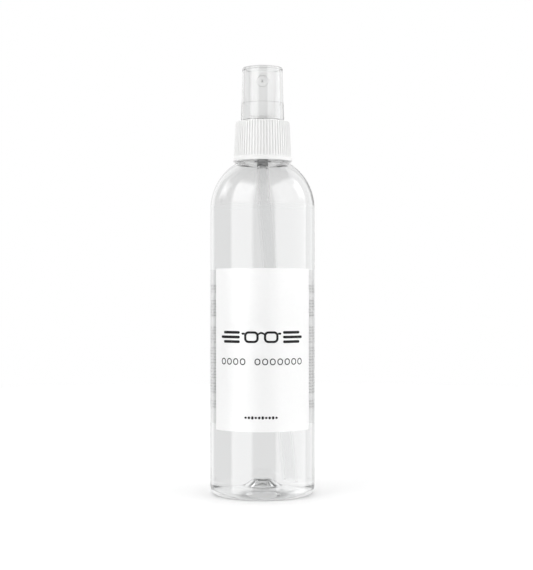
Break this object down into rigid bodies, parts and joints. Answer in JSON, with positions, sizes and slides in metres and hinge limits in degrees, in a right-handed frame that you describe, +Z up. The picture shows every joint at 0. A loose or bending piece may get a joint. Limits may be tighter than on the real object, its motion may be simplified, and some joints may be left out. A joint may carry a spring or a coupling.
{
  "type": "lens cleaning spray",
  "caption": "Clear round bottle of lens cleaning liquid with a ribbed white screw collar, a push-down fine-mist spray button and a clear pull-off overcap.",
  "frame": {"origin": "centre of the ring under the bottle, on the surface the bottle stands on", "axes": "+Z up along the bottle's axis, from the foot to the overcap; -Y is the front, where the front label and the spray nozzle face; +X is to the right seen from the front"},
  "size_m": [0.05, 0.0504, 0.2036],
  "materials": {
    "clear_pet": "polished",
    "clear_cap": "gloss",
    "liquid": "polished",
    "label_paper": "satin",
    "white_plastic": "satin",
    "natural_plastic": "satin",
    "grey_plastic": "satin",
    "tube_plastic": "satin",
    "seal_rubber": "matte",
    "spring_steel": "gloss"
  },
  "bodies": {
    "bottle": {"bottle": "clear_pet", "cleaning_fluid": "liquid", "front_label": "label_paper", "back_label": "label_paper"},
    "pump": {"turret_ring": "white_plastic", "neck_gasket": "seal_rubber", "stem_seal": "seal_rubber", "pump_housing": "grey_plastic", "dip_tube": "tube_plastic", "return_spring": "spring_steel"},
    "collar": {"collar": "white_plastic"},
    "overcap": {"overcap": "clear_cap"},
    "button": {"actuator_button": "white_plastic", "spray_insert": "white_plastic", "stem": "natural_plastic", "poppet": "natural_plastic", "piston_spring": "spring_steel"},
    "piston": {"piston": "natural_plastic"},
    "ball": {"inlet_ball": "spring_steel"}
  },
  "joints": [
    {"name": "pump_rise", "type": "slide", "parent": "bottle", "child": "pump", "axis": [0, 0, 1], "range_m": [0, 0.00398]},
    {"name": "collar_turn", "type": "hinge", "parent": "pump", "child": "collar", "pos_m": [0, 0, 0.1682], "axis": [0, 0, 1], "range_deg": [0, 450]},
    {"name": "overcap_pull", "type": "slide", "parent": "pump", "child": "overcap", "axis": [0, 0, 1], "range_m": [0, 0.03]},
    {"name": "spray_press", "type": "slide", "parent": "pump", "child": "button", "axis": [0, 0, -1], "range_m": [0, 0.0045], "stiffness_N_per_m": 1500, "springref_m": -0.004, "deforming": ["return_spring"]},
    {"name": "piston_slip", "type": "slide", "parent": "button", "child": "piston", "axis": [0, 0, 1], "range_m": [0, 0.0004], "stiffness_N_per_m": 1200, "springref_m": -0.001, "deforming": ["piston_spring"]},
    {"name": "ball_lift", "type": "slide", "parent": "pump", "child": "ball", "axis": [0, 0, 1], "range_m": [0, 0.0008]}
  ],
  "couplings": [
    {"joint": "pump_rise", "follows": "collar_turn", "m_per_rad": 0.00050531}
  ]
}
